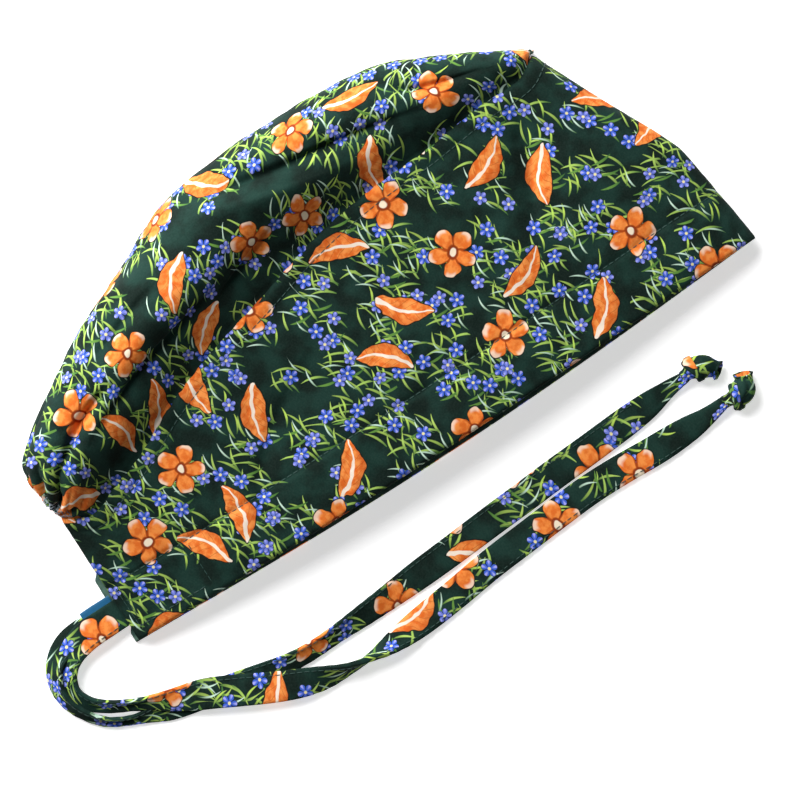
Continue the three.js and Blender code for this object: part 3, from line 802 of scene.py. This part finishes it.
def knot(name, route, lean, uv_start):
    """A knot: a pleated body with an open flared tail, and the strap's own turn round its neck."""
    path, _ = smooth_path(route, knot_steps)
    share = spaced(0, 1, knot_steps)
    width, high = (curve(share) for curve in columns(knot_shape))
    ahead, flat, above = path_frame(path)
    angles = ring_angles(knot_sides)
    twisted = angles + lean * knot_twist * share[:, None]
    pleats = sum(depth * np.cos(count * twisted + turn) for depth, count, turn in knot_pleats)
    radius = 1 + pleats * (0.5 + 0.7 * np.abs(share - 0.45))[:, None]
    wide = np.outer(width / 2, np.cos(angles)) * radius
    rings = sweep(path, flat, above, wide, np.outer(high / 2, np.sin(angles)) * radius)
    back_cut = np.outer(tail_cut * smoothstep(share, tail_start, 1.0), 0.5 + 0.5 * np.sin(angles))
    rings = rings - ahead[:, None, :] * back_cut[..., None]
    centre = rings.mean(axis=1, keepdims=True)
    inner = [centre[-1] + (rings[-1] - centre[-1]) * lip_share]
    for k in spaced(0, 1, hollow_steps)[1:]:
        row = knot_steps - int(round(hollow_length * k))
        inner.append(centre[row] + (rings[row] - centre[row]) * (0.8 - 0.25 * k))
    rings = np.concatenate([rings, np.array(inner)])
    rings[..., 2] += np.maximum(strap_clearance - rings[..., 2].min(axis=1), 0)[:, None]
    around = run_length(rings[:knot_steps], 1).mean(axis=0) + uv_start[1]
    along = run_length(rings, 0).mean(axis=1) + uv_start[0]
    faces = tube_faces(len(rings), knot_sides)

    place = int(knot_wrap * knot_steps)
    turns = ring_angles(wrap_steps)
    reach_wide, reach_high = np.array([width[place], high[place]]) / 2 + wrap_clearance
    loop = (path[place] + np.outer(reach_wide * np.cos(turns), flat[place])
            + np.outer(reach_high * np.sin(turns), above[place])
            + np.outer(lean * wrap_lean * np.cos(turns), ahead[place]))
    outward = unit(loop - path[place])
    forward = unit(np.roll(loop, -1, axis=0) - np.roll(loop, 1, axis=0))
    beside = np.cross(forward, outward)
    band_angles = ring_angles(wrap_sides)
    across = rounded(np.cos(band_angles), 0.7)
    half = knot_wrap_width / 2 * (1 + wrap_swell * np.sin(2 * turns + 0.6))
    folds = wrap_fold * np.cos(7 * across + 1.2 * np.sin(turns)[:, None])
    rise = knot_wrap_thickness / 2 * (np.sin(band_angles) + folds)
    rise += wrap_crown * (1 - across**2) - wrap_sink
    band = sweep(loop, beside, outward, np.outer(half, across), rise)
    band[..., 2] = np.maximum(band[..., 2], strap_clearance)
    base = len(rings) * knot_sides
    faces += face_grid(wrap_steps, wrap_sides, base, close_rows=True, close_columns=True).tolist()
    band_uv = grid_uv(turns * 4.5 + uv_start[0] + 40, across * half.mean() + uv_start[1] + 30)
    points = np.concatenate([rings.reshape(-1, 3), band.reshape(-1, 3)])
    return new_object(name, points, faces, np.concatenate([grid_uv(along, around), band_uv]))


near_knot = knot("near_knot_strap", near_knot_route, 1.0, (90, 800))
far_knot = knot("far_knot_strap", far_knot_route, -1.0, (260, 830))

# Label: a ribbon folded in two, its fold outwards
label_middle = label_edge - label_width / 2
label_route = [(-0.8, label_middle, 2.5), (-4, label_middle, 2.5), (-9, label_middle + 0.1, 2.5),
               (-label_length, label_middle, 2.5)]
label_lie = [(0.0, label_width, 0.8, 0), (0.9, label_width, 0.8, 0), (1.0, label_width - 0.2, 0.5, 0)]
label, _ = strap("label_ribbon_tab", label_route, label_lie, 60, on_floor=False)

# Threads. A stitch's rings: how high it arches and how thin it is, from end to end.
stitch_sides = 6
stitch_arch = np.array([-0.25, 0.7, 1.0, 0.7, -0.25])
stitch_thin = np.array([0.45, 0.95, 1.0, 0.95, 0.45])
stitch_fill = 0.8
stitch_height = 0.12
stitch_flat = 0.36


def stitches(name, line, ups, width):
    """A row of small raised stitches on a line."""
    length = run_length(line, 0)
    angles = ring_angles(stitch_sides)
    wide = np.outer(stitch_thin, np.cos(angles)) * width / 2
    high = np.outer(stitch_thin, np.sin(angles)) * width * stitch_flat
    high += stitch_height * stitch_arch[:, None]
    rings, faces = [], []
    for start in np.arange(stitch_pitch * 0.3, length[-1] - stitch_pitch, stitch_pitch):
        places = start + stitch_pitch * stitch_fill * spaced(0, 1, len(stitch_thin) - 1)
        centre = at_lengths(line, length, places)
        up = unit(at_lengths(ups, length, places))
        across = unit(np.cross(up, centre[-1] - centre[0]))
        faces += tube_faces(len(stitch_thin), stitch_sides, len(rings) * wide.size)
        rings.append(sweep(centre, across, up, wide, high))
    points = np.concatenate(rings).reshape(-1, 3)
    points[:, 2] = np.maximum(points[:, 2], stitch_clearance)
    return new_object(name, points, faces)


def line_at(points, normals, measure, value):
    """Where a measure reaches a value in each row of a grid, and the normal there."""
    found = []
    for row, across, out in zip(measure, points, normals):
        order = np.argsort(row)
        both = np.concatenate([across, out], axis=1)[order]
        found.append([np.interp(value, row[order], both[:, k]) for k in range(6)])
    found = np.array(found)
    return found[:, :3], found[:, 3:]


seam_stitch_width = 0.4
back_stitch_width = 0.38
tie_stitch_width = 0.36
hem_line, hem_ups = line_at(panel_points, panel_normals, panel_v, hem_turn_up)
top_line, top_ups = line_at(panel_points, panel_normals, -panel_to_seam, -topstitch_inset)
threads = [
    stitches("hem_stitches", hem_line[4:-4], hem_ups[4:-4], seam_stitch_width),
    stitches("crown_topstitches", top_line[6:-6], top_ups[6:-6], seam_stitch_width),
]


def panel_point(u, v):
    """A point of the near layer at a cloth coordinate, and the normal there."""
    near = panel_rounds <= 0.5
    gap = np.hypot(panel_uv[near][..., 0] - u, panel_uv[near][..., 1] - v).ravel()
    order = np.argsort(gap)[:8]
    weight = 1 / (gap[order] + 0.05) ** 2
    weight /= weight.sum()
    points, ups = panel_points[near].reshape(-1, 3)[order], panel_normals[near].reshape(-1, 3)[order]
    return weight @ points, weight @ ups


back_lines = [
    [(3.6, v) for v in np.linspace(23.5, 4.8, 15)] + [(u, 4.8) for u in np.linspace(4.8, 37, 25)],
    [(37.5, v) for v in np.linspace(4.8, 23.5, 15)],
    [(4.8, v) for v in np.linspace(23.5, 6, 14)],
]
for k, route in enumerate(back_lines):
    line, ups = (np.array(part) for part in zip(*(panel_point(u, v) for u, v in route)))
    threads.append(stitches(f"back_stitches_{k + 1}", line, ups, back_stitch_width))

tie_stitch_place = 0.74
tie_stitch_height = 0.97


def tie_stitches(name, lay):
    """The row of stitches along one edge of a tie's upper face."""
    side = lay["side"] * (lay["width"] / 2 * tie_stitch_place)[:, None]
    upward = lay["face"] * np.where(lay["face"][:, 2] < 0, -1, 1)[:, None]
    line = lay["centre"] + side + upward * (lay["thick"] / 2 * tie_stitch_height)[:, None]
    return stitches(name, line[6:-24], upward[6:-24], tie_stitch_width)


near_thread = tie_stitches("near_tie_stitches", near_lay)
far_thread = tie_stitches("far_tie_stitches", far_lay)
threads += [near_thread, far_thread]

# The pale zigzag thread on the elastic
zigzag_radius = 0.12
zigzag_lift = 0.14
zigzag_swing = 5.4
zigzag_pace = 15


def zigzag_line(first, phase):
    """A zigzag over the casing's grid, which starts at a row and swings across the rows after it."""
    at = np.linspace(0.04, 0.66, 120)
    rows = 2 * np.abs(((at * zigzag_pace + phase) / 2) % 1 - 0.5) * zigzag_swing + first - 0.4
    columns = at * (len(crown_turns) - 1)
    i, j = rows.astype(int), columns.astype(int)
    down, beside = (rows - i)[:, None], (columns - j)[:, None]
    lifted = casing_points + casing_normals * zigzag_lift
    low = lifted[i, j] * (1 - beside) + lifted[i, j + 1] * beside
    high = lifted[i + 1, j] * (1 - beside) + lifted[i + 1, j + 1] * beside
    return low * (1 - down) + high * down


def tube(name, lines, radius, sides=6):
    """Thin round threads along lines of equal numbers of points."""
    rings, faces = [], []
    for line in lines:
        ahead = unit(np.gradient(line, axis=0))
        side = unit(np.cross(ahead, [0.3, 0.5, 0.81]))
        wide = np.tile(radius * np.cos(ring_angles(sides)), (len(line), 1))
        high = np.tile(radius * np.sin(ring_angles(sides)), (len(line), 1))
        faces += tube_faces(len(line), sides, len(rings) * wide.size)
        rings.append(sweep(line, side, np.cross(side, ahead), wide, high))
    return new_object(name, np.concatenate(rings).reshape(-1, 3), faces)


zigzag_lines = [zigzag_line(first, phase) for first in (1, 7) for phase in (0, 1)]
zigzags = tube("elastic_zigzag", zigzag_lines, zigzag_radius)


# Materials
def colour(code):
    """A colour as a shader's linear values."""
    parts = [int(code[i:i + 2], 16) / 255 for i in (0, 2, 4)]
    return tuple(p / 12.92 if p < 0.04045 else ((p + 0.055) / 1.055) ** 2.4 for p in parts) + (1.0,)


class Nodes:
    """Short names for the nodes of one material. A value given as text is a colour's code."""

    def __init__(self, name):
        self.material = bpy.data.materials.new(name)
        self.material.use_nodes = True
        self.tree = self.material.node_tree
        self.tree.nodes.clear()
        output = self.tree.nodes.new("ShaderNodeOutputMaterial")
        self.shader = self.tree.nodes.new("ShaderNodeBsdfPrincipled")
        self.tree.links.new(self.shader.outputs[0], output.inputs["Surface"])

    def put(self, node, values):
        """Sets or links a node's inputs, each by its name or number."""
        for key, value in values.items():
            if isinstance(value, bpy.types.NodeSocket):
                self.tree.links.new(value, node.inputs[key])
            elif value is not None:
                node.inputs[key].default_value = colour(value) if isinstance(value, str) else value

    def node(self, kind, values, **settings):
        node = self.tree.nodes.new("ShaderNode" + kind)
        for setting, value in settings.items():
            setattr(node, setting, value)
        self.put(node, values)
        return node

    def finish(self, values):
        """Sets or links the shader's own inputs."""
        self.put(self.shader, values)
        return self.material

    def math(self, operation, *values):
        return self.node("Math", dict(enumerate(values)), operation=operation).outputs[0]

    def times(self, a, b):
        return self.math("MULTIPLY", a, b)

    def absolute(self, a):
        return self.math("ABSOLUTE", a)

    def cosine(self, way, count):
        return self.math("COSINE", self.times(way, count))

    def below(self, value, limit):
        return self.math("LESS_THAN", value, limit)

    def over(self, value, limit):
        return self.math("GREATER_THAN", value, limit)

    def vector(self, operation, a, b):
        return self.node("VectorMath", {0: a, 1: b}, operation=operation).outputs[0]

    def scaled(self, a, scale):
        return self.node("VectorMath", {0: a, "Scale": scale}, operation="SCALE").outputs[0]

    def length(self, a):
        return self.node("VectorMath", {0: a}, operation="LENGTH").outputs["Value"]

    def split(self, vector):
        return self.node("SeparateXYZ", {0: vector}).outputs[:]

    def mix(self, share, a, b):
        return self.node("Mix", {0: share, 6: a, 7: b}, data_type="RGBA").outputs[2]

    def step(self, value, low, high):
        """0 at low and 1 at high, smoothly between."""
        values = {"Value": value, "From Min": low, "From Max": high}
        return self.node("MapRange", values, interpolation_type="SMOOTHSTEP").outputs["Result"]

    def noise(self, vector, scale, detail=2, output="Fac"):
        values = {"Vector": vector, "Scale": scale, "Detail": detail}
        return self.node("TexNoise", values, noise_dimensions="3D").outputs[output]

    def cells(self, vector, pitch, jitter):
        """The offset from the nearest cell's middle in a loose lattice, and three random numbers."""
        values = {"Vector": vector, "Scale": 1 / pitch, "Randomness": jitter}
        node = self.node("TexVoronoi", values, voronoi_dimensions="2D")
        offset = self.vector("SUBTRACT", vector, node.outputs["Position"])
        return offset, self.split(node.outputs["Color"])

    def turned(self, vector, angle):
        values = {"Vector": vector, "Angle": angle}
        return self.node("VectorRotate", values, rotation_type="Z_AXIS").outputs[0]

    def bump(self, height, distance, strength, normal=None):
        values = {"Strength": strength, "Distance": distance, "Height": height, "Normal": normal}
        return self.node("Bump", values).outputs[0]

    def cloth(self, angle):
        """The cloth's own millimetres, turned by an angle."""
        return self.turned(self.node("UVMap", {}, uv_map="cloth").outputs[0], angle)


def petals(n, local, radius, waist, count=5):
    """How far a point lies outside a flower of rounded petals, its reach, and a wave round them."""
    x, y, _ = n.split(local)
    reach = n.length(local)
    way = n.math("ARCTAN2", y, x)
    lobe = n.math("POWER", n.absolute(n.cosine(way, count / 2)), 0.6)
    edge = n.times(n.math("MULTIPLY_ADD", lobe, 1 - waist, waist), radius)
    return n.math("SUBTRACT", reach, edge), reach, n.cosine(way, count)


def leaf(n, local, length, width, bend):
    """How far a point lies outside a curved pointed leaf along Y, and its own coordinates."""
    x, y, _ = n.split(local)
    share = n.math("DIVIDE", y, length / 2)
    fall = n.math("SUBTRACT", 1.0, n.times(share, share))
    off = n.math("SUBTRACT", x, n.times(fall, bend))
    half = n.times(n.math("MAXIMUM", fall, 0.0), width / 2)
    beside = n.math("SUBTRACT", n.absolute(off), half)
    beyond = n.math("SUBTRACT", n.absolute(y), length * 0.48)
    return n.math("MAXIMUM", beside, beyond), off, share


# The print's green blades: direction, colour, length, width, bend, shift and the share that shows
blades = [
    (0.15, "94b052", 12.0, 0.95, 1.3, (3.1, 5.7, 0.0), 0.62),
    (0.75, "acca62", 10.5, 0.85, -1.1, (91.0, 13.0, 0.0), 0.46),
    (-0.55, "a2c45e", 12.0, 0.9, 1.5, (37.0, 71.0, 0.0), 0.5),
    (-0.85, "5f8a3c", 9.5, 1.0, -0.8, (57.0, 31.0, 0.0), 0.36),
    (1.0, "b4d45c", 8.5, 0.8, 0.9, (17.0, 131.0, 0.0), 0.3),
    (0.45, "c6e2cf", 10.0, 0.65, -1.2, (71.0, 53.0, 0.0), 0.34),
    (-0.3, "bcd9c6", 9.5, 0.6, 1.0, (29.0, 97.0, 0.0), 0.3),
]
blade_squeeze = (2.6, 1.0, 1.0)
blade_edge = (0.14, -0.12)
blade_wander = 0.36

# The print's violet flowers: pitch, radius, colour, shift and the share that shows
violets = [
    (9.4, 3.1, "3c60cc", (11.0, 3.0, 0.0), 0.5),
    (11.6, 2.7, "6676d0", (61.0, 43.0, 0.0), 0.42),
]
violet_rim = (0.34, 0.14)
violet_edge = (0.12, -0.1)

# The large motifs: one to a cell, a blossom below the split and a leaf above it, and some cells bare
motif_pitch = 33.0
motif_split = 0.46
motif_bare = 0.14
motif_wobble = 3.4
motif_rim = (0.6, 0.3)
motif_edge = (0.14, -0.12)
thicket_share = 0.46
full_turn = 6.283


def laid_on(n, picture, outside, shown, fill, rim, edge):
    """A motif over the print, with a dark rim round it. Rim and edge say where each fades in."""
    picture = n.mix(n.times(n.step(outside, *rim), shown), picture, "081310")
    return n.mix(n.times(n.step(outside, *edge), shown), picture, fill)


def thicket(n, centre):
    """1 where blades and small flowers grow and 0 on the bare ground between."""
    return n.over(n.noise(n.vector("ADD", centre, (40.0, 9.0, 0.0)), 0.06, 0), thicket_share)


def print_colour(n, cloth):
    """The print: orange blossoms and leaves, violet flowers and green blades on dark green."""
    picture = n.mix(n.step(n.noise(cloth, 0.09, 3), 0.35, 0.65), "0b1b16", "16322b")

    for lean, code, length, width, bend, shift, share_shown in blades:
        turned = n.turned(n.vector("ADD", cloth, shift), lean)
        offset, draw = n.cells(n.vector("MULTIPLY", turned, blade_squeeze), pitch=10.4, jitter=0.62)
        local = n.vector("DIVIDE", offset, blade_squeeze)
        centre = n.turned(n.vector("SUBTRACT", turned, local), -lean)
        centre = n.vector("SUBTRACT", centre, shift)
        local = n.turned(local, n.math("MULTIPLY_ADD", draw[0], blade_wander, -blade_wander / 2))
        outside, _, share = leaf(n, local, length, width, bend)
        shown = n.times(thicket(n, centre), n.below(draw[1], share_shown))
        shade = n.mix(n.step(share, -1.0, 0.3), "3f6a34", code)
        picture = n.mix(n.times(n.step(outside, *blade_edge), shown), picture, shade)

    for pitch, radius, code, shift, share_shown in violets:
        moved = n.vector("ADD", cloth, shift)
        offset, draw = n.cells(moved, pitch, jitter=0.42)
        centre = n.vector("SUBTRACT", n.vector("SUBTRACT", moved, offset), shift)
        local = n.turned(offset, n.times(draw[0], full_turn))
        outside, reach, fold = petals(n, local, radius, waist=0.42)
        shown = n.times(n.below(draw[2], share_shown), thicket(n, centre))
        stripe = n.times(n.step(fold, 0.35, 0.95), n.step(reach, 0.8, 2.6))
        bloom = n.mix(stripe, code, "a4a6f0")
        bloom = n.mix(n.step(fold, -0.72, -0.98), bloom, "151d48")
        bloom = n.mix(n.step(reach, 0.75, 0.45), bloom, "e8dca0")
        picture = laid_on(n, picture, outside, shown, bloom, violet_rim, violet_edge)

    offset, draw = n.cells(n.vector("ADD", cloth, (5.0, 21.0, 0.0)), motif_pitch, jitter=0.5)
    wobble = n.vector("SUBTRACT", n.noise(cloth, 0.16, 1, "Color"), (0.5, 0.5, 0.5))
    local = n.vector("ADD", offset, n.scaled(wobble, motif_wobble))
    local = n.turned(local, n.times(draw[0], full_turn))
    wash = n.step(n.noise(cloth, 0.35, 4), 0.36, 0.64)
    kept = n.over(draw[2], motif_bare)

    outside, reach, fold = petals(n, local, radius=9.9, waist=0.36)
    blossom = n.mix(wash, "df6c25", "f29042")
    blossom = n.mix(n.step(fold, -0.6, -0.98), blossom, "a8430f")
    tip = n.times(n.step(outside, -2.2, -0.7), n.step(fold, 0.1, 0.8))
    blossom = n.mix(n.times(tip, 0.8), blossom, "f4dcc6")
    blossom = n.mix(n.step(reach, 3.0, 2.3), blossom, "8a3510")
    blossom = n.mix(n.step(reach, 1.8, 1.4), blossom, "f0dfc4")
    is_blossom = n.times(n.below(draw[1], motif_split), kept)
    picture = laid_on(n, picture, outside, is_blossom, blossom, motif_rim, motif_edge)

    outside, off, share = leaf(n, local, length=25.0, width=10.0, bend=3.0)
    slant = n.math("MULTIPLY_ADD", share, 11.0, n.times(n.absolute(off), -0.9))
    vein = n.absolute(n.math("SINE", slant))
    foliage = n.mix(wash, "dc6722", "f2964a")
    foliage = n.mix(n.times(n.step(off, 1.2, 4.2), 0.45), foliage, "b84c14")
    foliage = n.mix(n.times(n.step(vein, 0.16, 0.04), 0.6), foliage, "9c3c12")
    rib = n.math("MULTIPLY_ADD", share, -0.35, 0.5)
    foliage = n.mix(n.step(n.math("SUBTRACT", n.absolute(off), rib), 0.2, 0.0), foliage, "f3e2d0")
    is_leaf = n.times(n.over(draw[1], motif_split), kept)
    return laid_on(n, picture, outside, is_leaf, foliage, motif_rim, motif_edge)


def cloth_bump(n, cloth):
    """The weave's fine threads with a little slubbing and soft unevenness, and the slubs alone."""
    x, y, _ = n.split(cloth)
    twill = n.math("SINE", n.times(n.math("ADD", x, n.times(y, 0.8)), 9.0))
    weft = n.math("SINE", n.times(n.math("SUBTRACT", y, n.times(x, 0.15)), 12.0))
    slub = n.noise(cloth, 1.3, 3)
    weave = n.math("ADD", n.times(twill, 0.3), n.times(weft, 0.2))
    fine = n.bump(n.math("ADD", weave, slub), distance=0.00008, strength=0.35)
    return n.bump(n.noise(cloth, 0.16), distance=0.0009, strength=0.35, normal=fine), slub


def printed_cotton(name, angle):
    n = Nodes(name)
    cloth = n.cloth(angle)
    normal, slub = cloth_bump(n, cloth)
    worn = n.times(n.step(slub, 0.3, 0.75), 0.03)
    return n.finish({
        "Base Color": n.mix(worn, print_colour(n, cloth), "7d9488"),
        "Normal": normal,
        "Roughness": n.math("MULTIPLY_ADD", slub, 0.14, 0.74),
        "Specular IOR Level": 0.09,
        "Sheen Weight": 0.012,
        "Sheen Roughness": 0.5,
    })


def cotton_inside(name):
    """The unprinted side: the print shows through it, paler."""
    n = Nodes(name)
    cloth = n.cloth(0.6)
    normal, slub = cloth_bump(n, cloth)
    back = n.mix(n.step(n.noise(cloth, 0.12), 0.4, 0.66), "3c5850", "5d7a6c")
    warm = n.step(n.noise(n.vector("ADD", cloth, (70.0, 5.0, 0.0)), 0.035, 1), 0.6, 0.66)
    return n.finish({
        "Base Color": n.mix(n.times(warm, 0.5), back, "9a6a48"),
        "Normal": normal,
        "Roughness": n.math("MULTIPLY_ADD", slub, 0.1, 0.8),
        "Specular IOR Level": 0.2,
    })


def thread_material(name, dark, light):
    n = Nodes(name)
    place = n.node("TexCoord", {}).outputs["Object"]
    return n.finish({
        "Base Color": n.mix(n.noise(place, 900.0), dark, light),
        "Normal": n.bump(n.noise(place, 3000.0), distance=0.00005, strength=0.5),
        "Roughness": 0.6,
    })


def ribbon_material(name):
    n = Nodes(name)
    across, _, _ = n.split(n.cloth(0.0))
    rib = n.math("SINE", n.times(across, 14.0))
    return n.finish({
        "Base Color": n.mix(n.math("MULTIPLY_ADD", rib, 0.5, 0.5), "104c74", "206c97"),
        "Normal": n.bump(rib, distance=0.0001, strength=0.5),
        "Roughness": n.math("MULTIPLY_ADD", rib, 0.06, 0.45),
    })


def paper_material(name):
    n = Nodes(name)
    place = n.node("TexCoord", {}).outputs["Object"]
    return n.finish({
        "Base Color": n.mix(n.noise(place, 60.0), (0.86, 0.86, 0.86, 1), (0.89, 0.89, 0.89, 1)),
        "Roughness": 0.9,
        "Emission Color": (1, 1, 1, 1),
        "Emission Strength": 0.58,
    })


cap_cotton = printed_cotton("cap_cotton", math.radians(-33))
crown_cotton = printed_cotton("crown_cotton", math.radians(12))
tie_cotton = printed_cotton("tie_cotton", math.radians(70))
inner_cotton = cotton_inside("inner_cotton")
dark_thread = thread_material("dark_thread", "16332e", "2c5148")
label_weave = ribbon_material("label_weave")

for obj, cotton in ((side_panel, cap_cotton), (crown, crown_cotton), (casing, crown_cotton)):
    obj.data.materials.append(cotton)
    obj.data.materials.append(inner_cotton)
for obj in (near_tie, far_tie, near_knot, far_knot):
    obj.data.materials.append(tie_cotton)
label.data.materials.append(label_weave)
for obj in threads:
    obj.data.materials.append(dark_thread)
zigzags.data.materials.append(thread_material("pale_thread", "8797a8", "bcc8d0"))

# What stands for what
replaced = {
    side_panel: "side_panel", crown: "crown_panel", casing: "nape_elastic", near_tie: "near_tie",
    far_tie: "far_tie", near_knot: "near_knot", far_knot: "far_knot", label: "label_tab",
}
for obj, node in replaced.items():
    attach(obj, "root")
    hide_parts(node)
for obj in threads + [zigzags]:
    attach(obj, "root")

# Floor
floor_reach = 3.0
corners = [(x * floor_reach, y * floor_reach, 0) for x, y in ((-1, -1), (1, -1), (1, 1), (-1, 1))]
floor_mesh = bpy.data.meshes.new("floor")
floor_mesh.from_pydata(corners, [], [(0, 1, 2, 3)])
floor = add_object("floor", floor_mesh)
floor.data.materials.append(paper_material("white_paper"))

# Light and camera, in metres, set round the middle of the picture
camera_middle = Vector((139.6, 23.5, 0.0)) / 1000 + Vector((to_row / 1000).tolist())
picture_right = Vector((0.837, -0.547, 0.0)).normalized()
picture_up = Vector((0.547, 0.837, 0.0)).normalized()
up = Vector((0, 0, 1))
picture_width = 0.32
camera_height = 2.6
sensor_width = 36


def lamp(name, direction, distance, size, power):
    """A round soft lamp that points at the middle of the picture."""
    data = bpy.data.lights.new(name, "AREA")
    data.shape = "DISK"
    data.size = size
    data.energy = power
    obj = add_object(name, data)
    obj.location = camera_middle + direction.normalized() * distance
    obj.rotation_mode = "QUATERNION"
    obj.rotation_quaternion = (camera_middle - obj.location).to_track_quat("-Z", "Y")


lamp("key_light", picture_up * 0.52 - picture_right * 0.46 + up * 0.47, distance=1.5, size=1.5, power=56)
lamp("fill_light", picture_right * 0.7 - picture_up * 0.4 + up * 1.2, distance=1.8, size=1.4, power=0.8)

world = bpy.data.worlds.new("studio")
bpy.context.scene.world = world
world.use_nodes = True
background = world.node_tree.nodes["Background"]
background.inputs["Color"].default_value = (1, 1, 1, 1)
background.inputs["Strength"].default_value = 0.06
bpy.context.scene.view_settings.view_transform = "Standard"

camera_data = bpy.data.cameras.new("camera")
camera = add_object("camera", camera_data)
camera_data.sensor_width = sensor_width
camera_data.lens = sensor_width * camera_height / picture_width
camera_data.clip_start, camera_data.clip_end = 0.1, 20
turn = Matrix((picture_right, picture_up, up)).transposed().to_4x4()
camera.matrix_world = Matrix.Translation(camera_middle + up * camera_height) @ turn
bpy.context.scene.camera = camera
